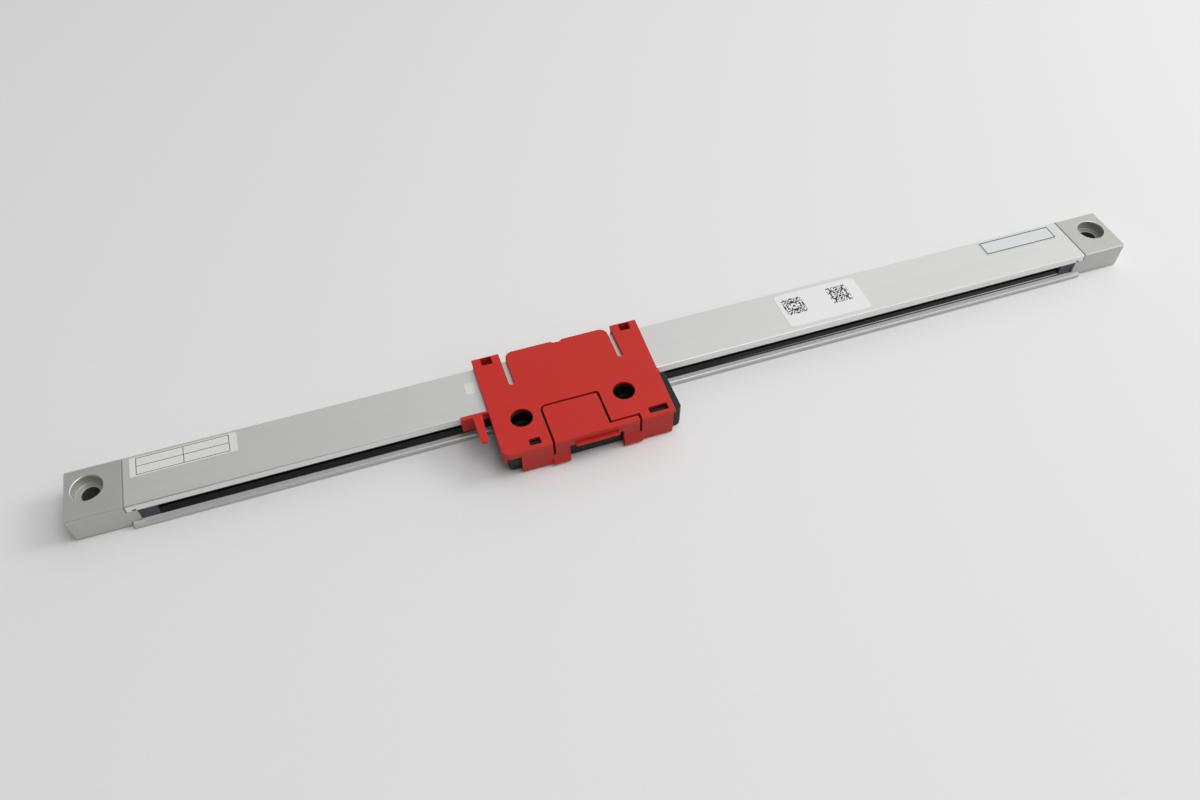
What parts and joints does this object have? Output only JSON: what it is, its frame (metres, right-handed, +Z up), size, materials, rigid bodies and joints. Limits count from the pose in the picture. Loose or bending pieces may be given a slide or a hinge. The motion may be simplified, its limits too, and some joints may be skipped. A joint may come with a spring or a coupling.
{
  "type": "linear glass scale",
  "caption": "Sealed slimline linear encoder: aluminium housing with a glass scale, roller-guided scanning carriage, black mounting block and a red clip-on shipping brace.",
  "frame": {"origin": "midway between the two end-block bolt holes, in the mounting plane under the housing", "axes": "+X along the scale, +Y towards the back of the housing, +Z up from the mounting plane along the bolts"},
  "size_m": [0.598, 0.0693, 0.0173],
  "materials": {
    "anodised_aluminium": "satin natural anodised",
    "black_aluminium": "black anodised, fine matt",
    "grey_elastomer": "matt",
    "black_rubber": "matt",
    "dark_filler": "matt",
    "optical_glass": "polished",
    "graduation_chrome": "fine line pattern",
    "elastic_bond": "matt",
    "label_film": "printed film",
    "red_plastic": "moulded, fine spark texture",
    "black_plastic": "moulded",
    "board_green": "solder mask",
    "chip_black": "moulded",
    "steel": "bright",
    "bearing_steel": "ground",
    "contact_gold": "plated",
    "flex_copper": "polyimide film",
    "cast_grey": "die-cast",
    "lamp_epoxy": "clear epoxy"
  },
  "bodies": {
    "scale": {"scale_housing": "anodised_aluminium", "end_block_left": "anodised_aluminium", "end_block_right": "anodised_aluminium", "end_gasket_left": "grey_elastomer", "end_gasket_right": "grey_elastomer", "end_screws": "steel", "air_inlet_plugs": "steel", "sealing_lip_upper": "black_rubber", "sealing_lip_lower": "black_rubber", "lip_filler_left": "dark_filler", "lip_filler_right": "dark_filler", "glass_scale": "optical_glass", "line_graduation": "graduation_chrome", "glass_bond": "elastic_bond", "glass_hold_cord": "black_rubber", "id_label": "label_film", "code_label": "label_film", "date_label": "label_film", "position_sticker": "label_film"},
    "head": {"mounting_block": "black_aluminium", "block_cover": "black_aluminium", "cover_gasket": "grey_elastomer", "cover_screws": "steel", "circuit_board": "board_green", "board_chips": "chip_black", "cable_socket": "black_plastic", "socket_pins": "contact_gold", "socket_lead": "black_rubber", "blade": "steel", "blade_screws": "steel", "flex_lead": "flex_copper", "coupling_rod": "steel", "preload_spring": "steel", "carriage_frame": "cast_grey", "roller_pins": "steel", "lamp": "lamp_epoxy", "condenser_lens": "optical_glass", "scanning_reticle": "optical_glass", "photocell_board": "board_green", "photocells": "chip_black"},
    "top_roller_left_body": {"top_roller_left": "bearing_steel"},
    "top_roller_right_body": {"top_roller_right": "bearing_steel"},
    "top_roller_front_body": {"top_roller_front": "bearing_steel"},
    "edge_roller_left_body": {"edge_roller_left": "bearing_steel"},
    "edge_roller_right_body": {"edge_roller_right": "bearing_steel"},
    "brace": {"shipping_brace": "red_plastic"},
    "latch": {"brace_latch": "red_plastic"},
    "hook": {"brace_hook": "red_plastic"}
  },
  "joints": [
    {"name": "head_slide", "type": "slide", "parent": "scale", "child": "head", "axis": [1, 0, 0], "range_m": [-0.18715, 0.28285]},
    {"name": "top_roller_left_spin", "type": "hinge", "parent": "head", "child": "top_roller_left_body", "pos_m": [-0.06985, 0.0042, 0.0101], "axis": [0, 1, 0], "continuous": true},
    {"name": "top_roller_right_spin", "type": "hinge", "parent": "head", "child": "top_roller_right_body", "pos_m": [-0.02585, 0.0042, 0.0101], "axis": [0, 1, 0], "continuous": true},
    {"name": "top_roller_front_spin", "type": "hinge", "parent": "head", "child": "top_roller_front_body", "pos_m": [-0.04785, -0.00265, 0.0101], "axis": [0, 1, 0], "continuous": true},
    {"name": "edge_roller_left_spin", "type": "hinge", "parent": "head", "child": "edge_roller_left_body", "pos_m": [-0.06985, -0.00585, 0.0067], "axis": [0, 0, 1], "continuous": true},
    {"name": "edge_roller_right_spin", "type": "hinge", "parent": "head", "child": "edge_roller_right_body", "pos_m": [-0.02585, -0.00585, 0.0067], "axis": [0, 0, 1], "continuous": true},
    {"name": "brace_liftoff", "type": "slide", "parent": "head", "child": "brace", "axis": [0, 0, 1], "range_m": [0, 0.035]},
    {"name": "latch_flex", "type": "hinge", "parent": "brace", "child": "latch", "pos_m": [-0.0413, -0.0499, 0.0074], "axis": [1, 0, 0], "range_deg": [0, 10], "stiffness_Nm_per_rad": 0.4},
    {"name": "hook_flex", "type": "hinge", "parent": "brace", "child": "hook", "pos_m": [-0.0926, -0.0194, 0.0155], "axis": [0, 0, 1], "range_deg": [0, 8], "stiffness_Nm_per_rad": 0.15}
  ],
  "couplings": [
    {"joint": "top_roller_left_spin", "follows": "head_slide", "rad_per_m": 454.55},
    {"joint": "top_roller_right_spin", "follows": "head_slide", "rad_per_m": 454.55},
    {"joint": "top_roller_front_spin", "follows": "head_slide", "rad_per_m": 454.55},
    {"joint": "edge_roller_left_spin", "follows": "head_slide", "rad_per_m": 454.55},
    {"joint": "edge_roller_right_spin", "follows": "head_slide", "rad_per_m": 454.55}
  ]
}
